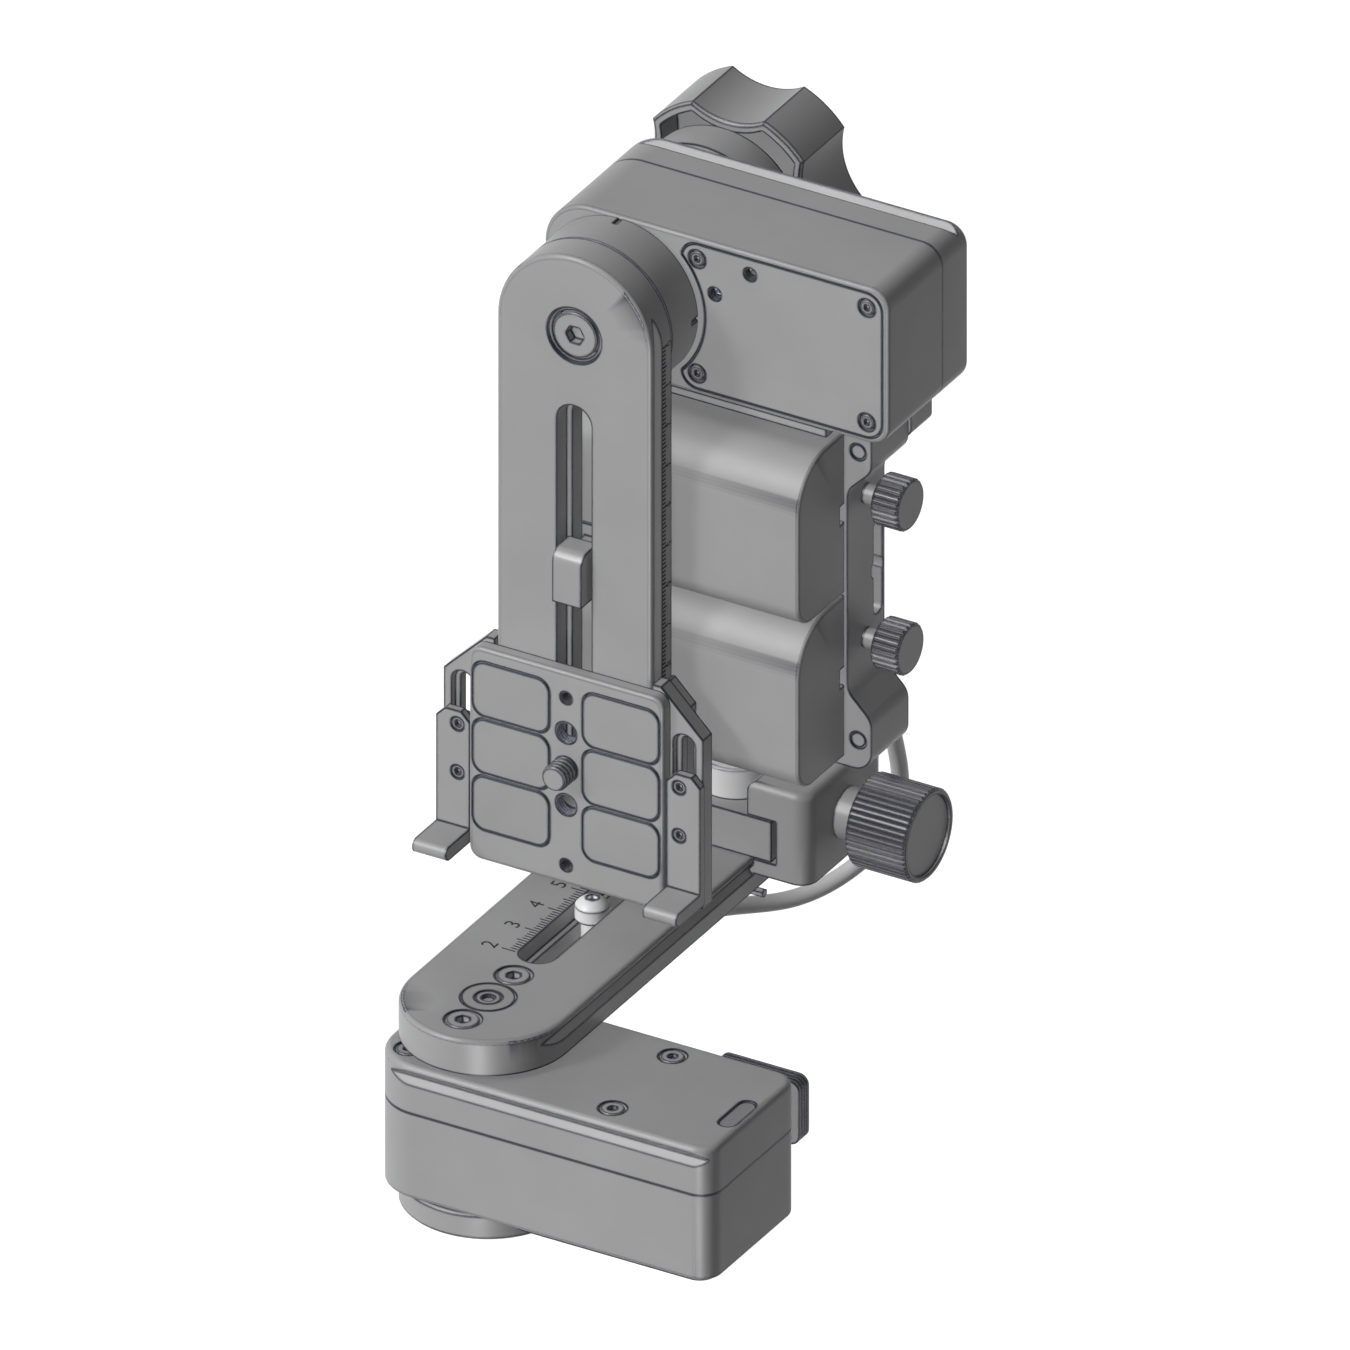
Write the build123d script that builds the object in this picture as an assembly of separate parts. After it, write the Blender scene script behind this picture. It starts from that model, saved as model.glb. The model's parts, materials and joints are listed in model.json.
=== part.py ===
"""Motorised panoramic tripod head: two geared rotators, two slotted rails and a camera plate.

Frame: origin on the yaw axis at the underside of the tripod foot, +Z up, lower rail along +Y,
long side of both gearbox cases along +X. Millimetres.
"""
from build123d import *
import math
import os

os.makedirs("parts", exist_ok=True)

# ---------------------------------------------------------------- driving dimensions
run_gap = 0.05          # radial gap of a shaft in its bearing
slide_gap = 0.30        # gap between flat faces that slide on each other
free_gap = 0.30         # gap between pieces that only pass each other

# gearbox cases, both rotators
case_left = 19.4        # axis to the rounded end
case_right = 66.7       # axis to the square end
case_half = 19.4        # half the case width
case_left_radius = 11.3
case_right_radius = 5.0
case_wall = 2.2
case_floor = 2.6
cover_depth = 11.7      # height of the cover half
cover_wall = 3.0
cover_roof = 2.4
cover_fillet = 1.5

# rails
rail_half = 19.4        # half width and end radius
rail_thick = 8.6
rail_fillet = 1.0
groove_top = 1.2        # dovetail groove, measured down from the rail's face
groove_bottom = 4.6
groove_depth = 1.7
slot_half = 4.37
slot_ledge_half = 2.9
slot_ledge_depth = 4.3
lower_rail_end = 126.0  # axis to the far end
swing_arm_end = 131.0
lower_slot = (17.5, 116.0)
swing_slot = (17.5, 118.0)

# levels of the lower rotator
foot_radius = 19.4
foot_height = 6.3
foot_gap = 0.3
yaw_depth = 33.0        # case underside to cover top
yaw_case_z = foot_height + foot_gap
rail_spacer_thick = 1.5
rail_z = yaw_case_z + yaw_depth + rail_spacer_thick
rail_top = rail_z + rail_thick

# upper rotator
pitch_z = rail_top + 146.7  # height of the pitch axis
pitch_case_y = 57.9     # front face of the case
pitch_depth = 35.0
swing_rear_y = 45.8     # back face of the swing arm
arm_front = swing_rear_y - rail_thick
boss_radius = 19.4

# drive inside each case
shaft_radius = 6.0
shaft_bore = 2.6
bearing_outer = 9.5
bearing_width = 5.0
wheel_radius = 10.4
wheel_teeth = 24
wheel_width = 6.0
drive_level = 14.0      # height of worm and motor above the case's outer floor
worm_radius = 2.9
worm_shaft_radius = 1.2
worm_offset = wheel_radius + free_gap + worm_radius
spur_radius = 3.3
spur_teeth = 16
pinion_radius = 4.0
pinion_offset = worm_offset - spur_radius - free_gap - pinion_radius
spur_x = (14.0, 18.0)
motor_radius = 10.5
motor_x = (28.0, 62.0)

# carriage on the lower rail
clamp_y = (80.6, 114.0)
clamp_half = 33.5
clamp_plate_right = 24.2
clamp_plate_thick = 10.4
clamp_low = rail_top - 3.7
jaw_top = rail_top + 18.8
jaw_reach = 18.2
jaw_inner = 25.4
knob_y = 96.6
knob_z = rail_top + 7.7
knob_radius = 10.7
knob_x = (39.4, 54.5)
knob_flutes = 48
level_at = (8.7, 92.6)
level_radius = 8.6
level_height = 7.6

# upright, battery frame and batteries
post_x = (-19.4, -1.2)
post_y = (84.0, 100.0)
mount_plate_thick = 2.1
bracket_z = rail_top + 114.3
bracket_right = 57.3
frame_y = (68.0, 84.0)
frame_z = rail_top + 38.3
frame_x = (-21.0, 50.6)
lobe_right = 56.6
battery_size = (70.8, 20.6, 40.1)
battery_right = 50.2
battery_z = (rail_top + 41.0, rail_top + 81.8)
lock_knob_z = (rail_top + 66.7, rail_top + 102.7)
lock_knob_y = 76.0
lock_knob_radius = 6.0
lock_knob_x = (54.9, 61.8)
lock_flutes = 24

# camera plate and its jaws
plate_half = 24.3
plate_z = (rail_top + 11.3, rail_top + 64.3)
plate_y = (arm_front - 3.5, arm_front - 0.3)
wing_half = 32.4
wing_z = (rail_top + 12.8, rail_top + 65.4)
wing_corner = 10.5
wing_rear = arm_front + 3.6
wing_back_half = 25.6
wing_slot_z = (rail_top + 22.3, rail_top + 53.7)
camera_screw_z = rail_top + 40.3
stop_slot_x = 27.7
stop_screw_z = (rail_top + 31.0, rail_top + 43.0)

# cable
cable_radius = 1.95
cable_points = [
    (42.0, 81.5, 91.5), (42.0, 93.0, 91.5), (41.2, 101.5, 82.5), (39.4, 108.5, 69.5),
    (38.1, 113.8, 56.0), (34.3, 115.0, 42.9), (27.0, 109.0, 33.5), (18.9, 98.0, 29.4),
    (12.6, 82.0, 31.4), (9.0, 64.0, 32.6), (7.0, 48.0, 32.0), (6.0, 35.0, 32.6), (6.0, 22.4, 32.6),
]


# ---------------------------------------------------------------- helpers
def slab(x0, x1, y0, y1, z0, z1):
    """Box between two corners."""
    return Pos((x0 + x1) / 2, (y0 + y1) / 2, (z0 + z1) / 2) * Box(x1 - x0, y1 - y0, z1 - z0)


def rod(axis, radius, first, second, low, high):
    """Cylinder along an axis; first and second are the other two coordinates in X, Y, Z order."""
    body = Pos(0, 0, (low + high) / 2) * Cylinder(radius, high - low)
    if axis == "Z":
        return Pos(first, second, 0) * body
    if axis == "Y":
        return Pos(first, 0, second) * Rot(-90, 0, 0) * body
    return Pos(0, first, second) * Rot(0, 90, 0) * body


def tube(axis, outer, inner, first, second, low, high):
    """Hollow cylinder, open at both ends."""
    return rod(axis, outer, first, second, low, high) - rod(axis, inner, first, second, low - 1, high + 1)


def prism(points, low, high):
    """Straight prism along Z over a polygon in XY."""
    return Pos(0, 0, low) * extrude(make_face(Polyline(points, close=True)), high - low)


def hex_bar(across, depth):
    """Hexagonal bar on +Z from the origin."""
    return extrude(RegularPolygon(across / 2, 6, major_radius=False), depth)


def gear(radius, teeth, bore, width):
    """Straight-toothed gear on +Z, with teeth cut in from the tip circle."""
    gap_width = math.pi * radius / teeth * 0.9
    blank = Pos(0, 0, width / 2) * Cylinder(radius, width)
    cutter = Pos(radius, 0, width / 2) * Box(gap_width, gap_width, width + 2)
    blank -= [Rot(0, 0, 360 / teeth * step) * cutter for step in range(teeth)]
    return blank - Pos(0, 0, width / 2) * Cylinder(bore, width + 2)


def fluted(radius, flutes, length, depth=0.45):
    """Knob blank on +Z with straight flutes round its rim."""
    blank = Pos(0, 0, length / 2) * Cylinder(radius, length)
    blank = chamfer(blank.edges().filter_by(GeomType.CIRCLE), 0.5)
    cutter = Pos(radius + 0.1, 0, length / 2) * Rot(0, 0, 45) * Box(depth * 1.6, depth * 1.6, length + 2)
    return blank - [Rot(0, 0, 360 / flutes * step) * cutter for step in range(flutes)]


def socket_screw(head_radius, head_height, shank_radius, length, socket):
    """Cap screw on -Z: head top at the origin, hexagon socket in the head."""
    body = Pos(0, 0, -head_height / 2) * Cylinder(head_radius, head_height)
    body = chamfer(body.edges().filter_by(GeomType.CIRCLE).sort_by(Axis.Z)[-1], 0.25)
    body += Pos(0, 0, -(head_height + length) / 2) * Cylinder(shank_radius, length - head_height)
    return body - Pos(0, 0, -head_height * 0.6) * hex_bar(socket, head_height)


def screw_seat(head_radius, head_height, shank_radius, length):
    """Space that a socket screw fills, with its clearance ring at the head."""
    seat = Pos(0, 0, -head_height / 2 + 0.5) * Cylinder(head_radius + 0.4, head_height + 1)
    return seat + Pos(0, 0, -length / 2) * Cylinder(shank_radius, length)


def write(name, *solids):
    """Store one named piece."""
    piece = solids[0] if len(solids) == 1 else Compound(children=list(solids))
    export_step(piece, f"parts/{name}.step")


# ---------------------------------------------------------------- rotator, axis on +Z, output face at z = 0
top_screw = dict(head_radius=2.75, head_height=1.6, shank_radius=1.4, length=6.4)
plate_screw = dict(head_radius=1.75, head_height=1.0, shank_radius=1.0, length=2.2)
top_screw_at = [(38.6, 13.0), (38.6, -13.0), (-12.6, 12.6), (-12.6, -12.6)]
plate_screw_at = [(18.8, 14.3), (18.8, -14.3), (61.2, 14.3), (61.2, -14.3)]
board_post_at = [(24.0, 7.0), (24.0, -7.0), (60.0, 7.0), (60.0, -7.0)]
service_plate_thick = 1.2
service_plate_corner = 4.0


def case_outline(inset=0.0):
    """Plan of the case: blunt rounded end at the axis, square end for the motor."""
    width = case_left + case_right - 2 * inset
    plan = Pos((case_right - case_left) / 2, 0) * Rectangle(width, 2 * (case_half - inset))
    ends = plan.vertices().group_by(Axis.X)
    plan = fillet(ends[0], case_left_radius - inset)
    right = plan.vertices().group_by(Axis.X)[-1]
    return fillet(right, max(case_right_radius - inset, 1.0))


def service_plate_plan(grow=0.0):
    """Flat plate beside the output boss, hollowed round it."""
    plan = Pos(40.0, 0) * RectangleRounded(50.0 + 2 * grow, 36.0 + 2 * grow, service_plate_corner + grow)
    plan -= Circle(boss_radius + 1.5 - grow)
    return plan


def groove_cutter(face, top, bottom, length_from, length_to):
    """V groove along X in the side at y = face; top and bottom are heights."""
    inward = -math.copysign(groove_depth, face)
    valley = (top + bottom) / 2
    section = Plane.YZ * make_face(Polyline(
        [(face - inward, top + groove_depth), (face + inward, valley),
         (face - inward, bottom - groove_depth)], close=True))
    return Pos(length_from, 0, 0) * extrude(section, length_to - length_from)


def rotator_case(depth):
    """Case half on the output side, open towards the cover."""
    split = depth - cover_depth
    case = extrude(case_outline(), split)
    case = fillet(case.faces().sort_by(Axis.Z)[0].outer_wire().edges(), 0.8)
    case -= Pos(0, 0, case_floor) * extrude(case_outline(case_wall), split)
    case += tube("Z", bearing_outer + 2.5, bearing_outer, 0, 0, 1.0, case_floor + bearing_width)
    case -= rod("Z", shaft_radius + 1.0, 0, 0, -1, case_floor)
    for x0 in (-11.0, 9.0):
        case += slab(x0, x0 + 2, worm_offset - 2.4, case_half - 1, 1.0, drive_level + 3)
    case += slab(motor_x[0] - 2, motor_x[0], -8, case_half - 1, 1.0, drive_level + 6)
    case -= rod("X", 4.5, pinion_offset, drive_level, motor_x[0] - 3, motor_x[0] + 1)
    case -= rod("X", worm_shaft_radius + run_gap, worm_offset, drive_level, -12, 12)
    case -= Pos(0, 0, -1) * extrude(service_plate_plan(0.15), service_plate_thick + 1)
    for x, y in plate_screw_at:
        case -= rod("Z", plate_screw["shank_radius"], x, y, -1, plate_screw["length"])
    return case


def rotator_cover(depth, screws):
    """Cover half with dovetail grooves along its long sides."""
    split = depth - cover_depth
    cover = Pos(0, 0, split) * extrude(case_outline(), cover_depth)
    cover = fillet(cover.faces().sort_by(Axis.Z)[-1].outer_wire().edges(), cover_fillet)
    cover -= Pos(0, 0, split - 1) * extrude(case_outline(cover_wall), cover_depth - cover_roof + 1)
    seat_low = depth - cover_roof - bearing_width
    cover += tube("Z", bearing_outer + 2.5, bearing_outer, 0, 0, seat_low, depth - cover_roof + 1)
    for x, y in board_post_at:
        cover += rod("Z", 2.0, x, y, depth - cover_roof - 2.6, depth - cover_roof + 1)
    for x, y in screws:
        cover += rod("Z", 3.6, x, y, depth - top_screw["length"] - 1, depth - 1)
    for face in (case_half, -case_half):
        cover -= groove_cutter(face, depth - cover_fillet, depth - groove_bottom,
                               -case_left - 5, case_right + 5)
    for x, y in screws:
        cover -= Pos(x, y, depth) * screw_seat(**top_screw)
    return cover


def rotator_pieces(depth, proud=0.0):
    """Everything that fills the case, keyed by role; proud lifts the service plate off the case's face."""
    seat_top = depth - cover_roof
    split = depth - cover_depth
    wheel_low = drive_level - wheel_width / 2
    pieces = {"case": rotator_case(depth), "cover": rotator_cover(depth, top_screw_at)}
    plate = Pos(0, 0, -proud) * extrude(service_plate_plan(), service_plate_thick + proud)
    for x, y in plate_screw_at:
        plate -= Pos(x, y, -proud) * Rot(180, 0, 0) * screw_seat(**plate_screw)
    pieces["service_plate"] = plate
    pieces["screws"] = Compound(children=(
        [Pos(x, y, depth) * socket_screw(**top_screw, socket=2.0) for x, y in top_screw_at]
        + [Pos(x, y, -proud) * Rot(180, 0, 0) * socket_screw(**plate_screw, socket=1.3)
           for x, y in plate_screw_at]))
    low = case_floor
    high = seat_top - bearing_width
    pieces["bearings"] = Compound(children=[
        tube("Z", bearing_outer, shaft_radius + run_gap, 0, 0, z0, z0 + bearing_width)
        for z0 in (low, high)])
    pieces["worm_wheel"] = Pos(0, 0, wheel_low) * gear(wheel_radius, wheel_teeth, shaft_radius, wheel_width)
    worm = rod("X", worm_shaft_radius, worm_offset, drive_level, -11.0, spur_x[1])
    thread_from = -8.4
    ribs = 12
    pitch = -2 * thread_from / ribs
    for step in range(ribs):
        x0 = thread_from + pitch * step
        worm += rod("X", worm_radius, worm_offset, drive_level, x0, x0 + pitch / 2)
        worm += rod("X", worm_radius - 0.7, worm_offset, drive_level, x0 + pitch / 2, x0 + pitch)
    spur = Pos(spur_x[0], worm_offset, drive_level) * Rot(0, 90, 0) * gear(
        spur_radius, spur_teeth, worm_shaft_radius - 0.2, spur_x[1] - spur_x[0])
    pieces["worm"] = worm + spur
    shaft = rod("X", 1.5, pinion_offset, drive_level, spur_x[0], motor_x[0] - free_gap)
    pinion = Pos(spur_x[0], pinion_offset, drive_level) * Rot(0, 90, 0) * gear(
        pinion_radius, spur_teeth + 4, 1.3, spur_x[1] - spur_x[0])
    pieces["pinion"] = shaft + pinion
    motor = rod("X", motor_radius, pinion_offset, drive_level, motor_x[0], motor_x[1] - 3)
    motor += rod("X", motor_radius - 2.5, pinion_offset, drive_level, motor_x[1] - 3, motor_x[1])
    pieces["motor"] = motor
    board_top = seat_top - 2.6
    board = slab(20, 63, -9.2, 9.2, board_top - 1.5, board_top)
    board += slab(34, 46, -8, 2, board_top - 2.5, board_top - 1.5)
    board += slab(52, 58, 1, 8, board_top - 2.9, board_top - 1.5)
    pieces["control_board"] = board
    pieces["split"] = split
    return pieces


def rail(length_end, slot):
    """Slotted dovetail rail: round end at the origin, length on +Y, working face at z = rail_thick."""
    plan = Circle(rail_half) + Pos(0, length_end / 2) * Rectangle(2 * rail_half, length_end)
    plan = fillet(plan.vertices().group_by(Axis.Y)[-1], 3.0)
    body = extrude(plan, rail_thick)
    body = fillet(body.faces().sort_by(Axis.Z)[-1].outer_wire().edges(), rail_fillet)
    for face in (rail_half, -rail_half):
        cutter = groove_cutter(-face, rail_thick - groove_top, rail_thick - groove_bottom,
                               -rail_half - 5, length_end + 5)
        body -= Rot(0, 0, 90) * cutter
    low, high = slot
    wide = Pos(0, (low + high) / 2) * SlotOverall(high - low, 2 * slot_half, rotation=90)
    narrow = Pos(0, (low + high) / 2) * SlotOverall(
        high - low - 2 * (slot_half - slot_ledge_half), 2 * slot_ledge_half, rotation=90)
    body -= Pos(0, 0, rail_thick - slot_ledge_depth) * extrude(wide, slot_ledge_depth + 1)
    body -= Pos(0, 0, -1) * extrude(narrow, rail_thick + 2)
    return body


def lower(piece):
    """Rotator frame to the lower rotator's place."""
    return Pos(0, 0, yaw_case_z) * piece


def upper(piece):
    """Rotator frame to the upper rotator's place: output face to the front, axis along Y."""
    return Pos(0, pitch_case_y, pitch_z) * Rot(-90, 0, 0) * piece


def on_arm(piece):
    """Rail frame to the swing arm's place: face to the front, length downwards."""
    return Pos(0, swing_rear_y, pitch_z) * Rot(0, 180, 0) * Rot(90, 0, 0) * piece


# ---------------------------------------------------------------- lower rotator
socket_radius = 4.0
socket_depth = 5.2
yaw = rotator_pieces(yaw_depth, proud=0.9)
foot = Pos(0, 0, foot_height / 2) * Cylinder(foot_radius, foot_height)
foot = chamfer(foot.edges().filter_by(GeomType.CIRCLE), 0.6)
foot -= rod("Z", socket_radius, 0, 0, -1, socket_depth)
yaw_shaft_top = yaw_case_z + yaw_depth - cover_roof - free_gap
yaw_shaft = tube("Z", shaft_radius, shaft_bore, 0, 0, foot_height, yaw_shaft_top)
write("tripod_foot", foot)
write("yaw_shaft", yaw_shaft)
write("yaw_worm_wheel", lower(yaw["worm_wheel"]))
write("yaw_worm", lower(yaw["worm"]))
write("yaw_motor_pinion", lower(yaw["pinion"]))
write("yaw_motor", lower(yaw["motor"]))
write("yaw_bearings", lower(yaw["bearings"]))
write("yaw_control_board", lower(yaw["control_board"]))
write("yaw_service_plate", lower(yaw["service_plate"]))
write("yaw_case_screws", lower(yaw["screws"]))

# status window in the cover and cable gland on its back wall
window_at = (63.2, -1.6)
window_long = 12.4
window_wide = 4.2
yaw_top = yaw_case_z + yaw_depth
window_plan = Pos(*window_at) * SlotOverall(window_long, window_wide, rotation=90)
yaw_cover = lower(yaw["cover"]) - Pos(0, 0, yaw_top - 0.9) * extrude(window_plan, 2)
window_plug = Pos(*window_at) * SlotOverall(window_long, window_wide, rotation=90)
write("yaw_status_window", Pos(0, 0, yaw_top - 0.9) * extrude(window_plug, 0.5))
gland_radius = 3.6
rail_screw = dict(head_radius=3.75, head_height=3.0, shank_radius=2.0, length=11.8)
rail_screw_y = (11.0, -11.0)
rail_seats = [Pos(0, y, rail_top) * screw_seat(**rail_screw) for y in rail_screw_y]
yaw_cover += rod("Y", gland_radius, cable_points[-1][0], cable_points[-1][2], case_half - 1, cable_points[-1][1])
write("yaw_cover", yaw_cover - rail_seats)
write("yaw_case", lower(yaw["case"]))

# finned socket block on the back wall, beside the square end
block_x = (44.7, 66.6)
block_z = (21.8, 37.6)
block_out = 4.2
fin_count = 4
block = slab(*block_x, case_half, case_half + block_out, *block_z)
block = fillet(block.edges().filter_by(Axis.Y), 2.4)
fin_pitch = block_out / fin_count
for step in range(1, fin_count):
    y_fin = case_half + fin_pitch * step
    ring = slab(block_x[0] - 1, block_x[1] + 1, y_fin - 0.2, y_fin + 0.2, block_z[0] - 1, block_z[1] + 1)
    core = slab(block_x[0] + 0.6, block_x[1] - 0.6, y_fin - 1, y_fin + 1, block_z[0] + 0.6, block_z[1] - 0.6)
    block -= ring - fillet(core.edges().filter_by(Axis.Y), 2.0)
write("yaw_socket_block", block)

spacer_radius = 16.0
write("rail_spacer", tube("Z", spacer_radius, shaft_bore, 0, 0, yaw_top, rail_z) - rail_seats)
lower_rail = Pos(0, 0, rail_z) * rail(lower_rail_end, lower_slot) - rail_seats
disc_radius_top = 6.1
lower_rail -= rod("Z", disc_radius_top, 0, 0, rail_top - 1.6, rail_top + 1)
write("lower_rail", lower_rail)
write("rail_screws", *[Pos(0, y, rail_top) * socket_screw(**rail_screw, socket=3.0) for y in rail_screw_y])
disc = rod("Z", disc_radius_top - 0.25, 0, 0, rail_top - 1.6, rail_top)
disc -= rod("Z", 3.1, 0, 0, rail_top - 0.4, rail_top + 1)
disc += rod("Z", 2.75, 0, 0, rail_top - 1.0, rail_top - 0.1)
disc -= rod("Z", 1.5, 0, 0, rail_top - 0.9, rail_top + 1)
write("rail_axis_cap", disc)

# dome-headed stop screw in the rail slot with its square nut below
stop_y = 45.1
dome = Pos(0, stop_y, rail_top - 1.9) * Sphere(4.6)
stop_head = dome & slab(-5, 5, stop_y - 5, stop_y + 5, rail_top + 0.6, rail_top + 2.5)
stop_screw = stop_head + rod("Z", 3.86, 0, stop_y, rail_top - 2.6, rail_top + 0.6)
stop_screw += rod("Z", 2.5, 0, stop_y, rail_z, rail_top - 2.6)
stop_screw -= Pos(0, stop_y, rail_top + 1.1) * hex_bar(2.5, 3)
stop_screw += slab(-6, 6, stop_y - 4, stop_y + 4, rail_z - 2.6, rail_z)
write("rail_stop_screw", stop_screw)

# ---------------------------------------------------------------- carriage on the lower rail
plate_low = rail_top + slide_gap
plate_top = rail_top + clamp_plate_thick
y0, y1 = clamp_y
lip_low = rail_top - groove_bottom + 0.5
lip_high = rail_top - groove_top - 0.5
lip_tip = rail_half - groove_depth + 0.9


def jaw_lip(side):
    """Wedge that reaches into the rail's groove on one side."""
    root = side * (rail_half + free_gap)
    section = Plane.XZ * make_face(Polyline(
        [(root, lip_low - 0.4), (side * lip_tip, (lip_low + lip_high) / 2 - 0.35),
         (side * lip_tip, (lip_low + lip_high) / 2 + 0.35), (root, lip_high + 0.4)], close=True))
    return Pos(0, y0, 0) * extrude(section, -(y1 - y0))


base = slab(-clamp_half, clamp_plate_right, y0, y1, plate_low, plate_top)
base += slab(-clamp_half, -rail_half - free_gap, y0, y1, clamp_low, plate_top)
base = fillet(base.edges().filter_by(Axis.Y).group_by(Axis.X)[0], 2.5)
base += jaw_lip(-1)
bolt_radius = 2.4
base -= rod("X", bolt_radius + run_gap, knob_y, knob_z, 8, clamp_plate_right + 1)
write("clamp_base", base)

jaw = slab(jaw_reach, clamp_half, y0, y1, clamp_low, jaw_top)
jaw -= slab(jaw_reach - 1, jaw_inner, y0 - 1, y1 + 1, plate_low - slide_gap, plate_top + free_gap)
jaw -= slab(jaw_reach - 1, rail_half + free_gap, y0 - 1, y1 + 1, clamp_low - 1, plate_low)
outer_edges = jaw.edges().filter_by(Axis.Z).group_by(Axis.X)[-1]
jaw = fillet(outer_edges, 4.0)
jaw = fillet(jaw.faces().sort_by(Axis.Z)[-1].outer_wire().edges(), 2.0)
jaw += jaw_lip(1)
jaw -= rod("X", bolt_radius + run_gap, knob_y, knob_z, clamp_plate_right, clamp_half + 1)
write("clamp_jaw", jaw)

knob_length = knob_x[1] - knob_x[0]
knob = Pos(knob_x[0], knob_y, knob_z) * Rot(0, 90, 0) * fluted(knob_radius, knob_flutes, knob_length)
knob -= rod("X", knob_radius - 1.3, knob_y, knob_z, knob_x[1] - 0.8, knob_x[1] + 1)
knob += rod("X", 6.0, knob_y, knob_z, clamp_half + free_gap, knob_x[0])
knob += rod("X", bolt_radius, knob_y, knob_z, 10.0, clamp_half + free_gap)
write("clamp_knob", knob)

level = rod("Z", level_radius, *level_at, plate_top, plate_top + level_height)
level = fillet(level.edges().filter_by(GeomType.CIRCLE).sort_by(Axis.Z)[-1], 0.5)
vial_radius = 5.6
level -= rod("Z", vial_radius, *level_at, plate_top + 2.5, plate_top + level_height + 1)
write("spirit_level_cup", level)
vial = rod("Z", vial_radius, *level_at, plate_top + 2.5, plate_top + level_height - 0.5)
write("spirit_level_vial", vial)

# nut and hexagonal pin under the rail, tied to the base through the slot
nut_y = 90.0
neck_half = slot_ledge_half - free_gap
slot_nut = slab(-8, 8, nut_y - 7, nut_y + 7, rail_z - 3.6, rail_z - slide_gap)
slot_nut += slab(-neck_half, neck_half, nut_y - 6, nut_y + 6, rail_z - 1, plate_low)
slot_nut += Pos(7, nut_y - 5.4, rail_z - 1.9) * Rot(0, 90, 0) * hex_bar(1.9, 13.3)
write("slot_nut", slot_nut)

# upright post, top bracket and mounting plate
case_bottom = pitch_z - case_half
mount_low = case_bottom - mount_plate_thick
post = slab(*post_x, *post_y, plate_top, mount_low)
post = fillet(post.edges().filter_by(Axis.Z), 2.0)
for x in post_x:
    post -= slab(x - 1.2, x + 1.2, post_y[0] + 5, post_y[1] - 5, plate_top + 6, mount_low - 6)
write("upright_post", post)
bracket = slab(post_x[1], bracket_right, post_y[0], pitch_case_y + pitch_depth, bracket_z, mount_low)
bracket = fillet(bracket.edges().filter_by(Axis.Y).group_by(Axis.X)[-1], 2.0)
bracket += slab(-case_left + 2, 50.7, pitch_case_y + 0.6, pitch_case_y + pitch_depth, mount_low, case_bottom)
write("upright_bracket", bracket)

# battery frame: bar frame with hinge-pin lobes at its right corners
fx0, fx1 = frame_x
lobe_r = 4.6


def frame_plan():
    """Outline of the frame in XZ, with a lobe at the top and bottom right."""
    half_z = [frame_z, mount_low]
    points = [
        (fx0, half_z[0]), (lobe_right, half_z[0]), (lobe_right, frame_z + 12.8), (fx1, frame_z + 18.8),
        (fx1, mount_low - 18.0), (lobe_right, mount_low - 12.0), (lobe_right, half_z[1]), (fx0, half_z[1]),
    ]
    return make_face(Polyline(points, close=True))


frame_depth = frame_y[1] - frame_y[0]
frame = Pos(0, frame_y[1], 0) * extrude(Plane.XZ * frame_plan(), frame_depth)
frame = fillet(frame.edges().filter_by(Axis.Y), lobe_r)
bar = 9.0
frame_window = slab(fx0 + bar, fx1 - bar, frame_y[0] - 1, frame_y[1] + 1, frame_z + 15, mount_low - 15)
frame -= fillet(frame_window.edges().filter_by(Axis.Y), 4.0)
pocket_z = (rail_top + 70.1, rail_top + 93.4)
pocket_y = (79.3, 83.1)
pocket = slab(fx1 - 3.0, fx1 + 1, *pocket_y, *pocket_z)
frame -= fillet(pocket.edges().filter_by(Axis.X), 1.8)
frame -= rod("X", 2.6, 80.9, sum(pocket_z) / 2, fx1 - 3.0, fx1 + 1)
pin_at = [(53.2, rail_top + 117.6), (53.2, rail_top + 45.6)]
for x, z in pin_at:
    frame -= rod("Y", 2.0, x, z, frame_y[0] - 1, frame_y[1] + 1)
for z in lock_knob_z:
    frame -= rod("X", 2.0 + run_gap, lock_knob_y, z, fx1 - 8, fx1 + 1)
cable_start = cable_points[0]
frame -= rod("Y", cable_radius + free_gap, cable_start[0], cable_start[2], cable_start[1] - 1, frame_y[1] + 1)
write("battery_frame", frame)
write("frame_pins", *[rod("Y", 1.8, x, z, frame_y[0] + 0.15, frame_y[1] - 0.15) for x, z in pin_at])

# batteries: rounded front, flat back against the frame
batt_len, batt_thick, batt_high = battery_size


def battery(z_low):
    """Battery block lying along X with a deep radius on its upper front edge."""
    body = slab(battery_right - batt_len, battery_right, frame_y[0] - batt_thick, frame_y[0] - slide_gap,
                z_low, z_low + batt_high)
    front = body.edges().filter_by(Axis.X).group_by(Axis.Y)[0].sort_by(Axis.Z)
    body = fillet(front[1], 12.0)
    front = body.edges().filter_by(Axis.X).group_by(Axis.Y)[0].sort_by(Axis.Z)
    body = fillet(front[0], 6.0)
    ends = body.faces().filter_by(Axis.X).sort_by(Axis.X)
    body = fillet(ends[-1].outer_wire().edges(), 0.6)
    middle = z_low + batt_high / 2
    return body - slab(battery_right - 2.0, battery_right + 1, frame_y[0] - 2.6, frame_y[0], middle - 2.4, middle + 2.4)


write("battery_lower", battery(battery_z[0]))
write("battery_upper", battery(battery_z[1]))

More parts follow.
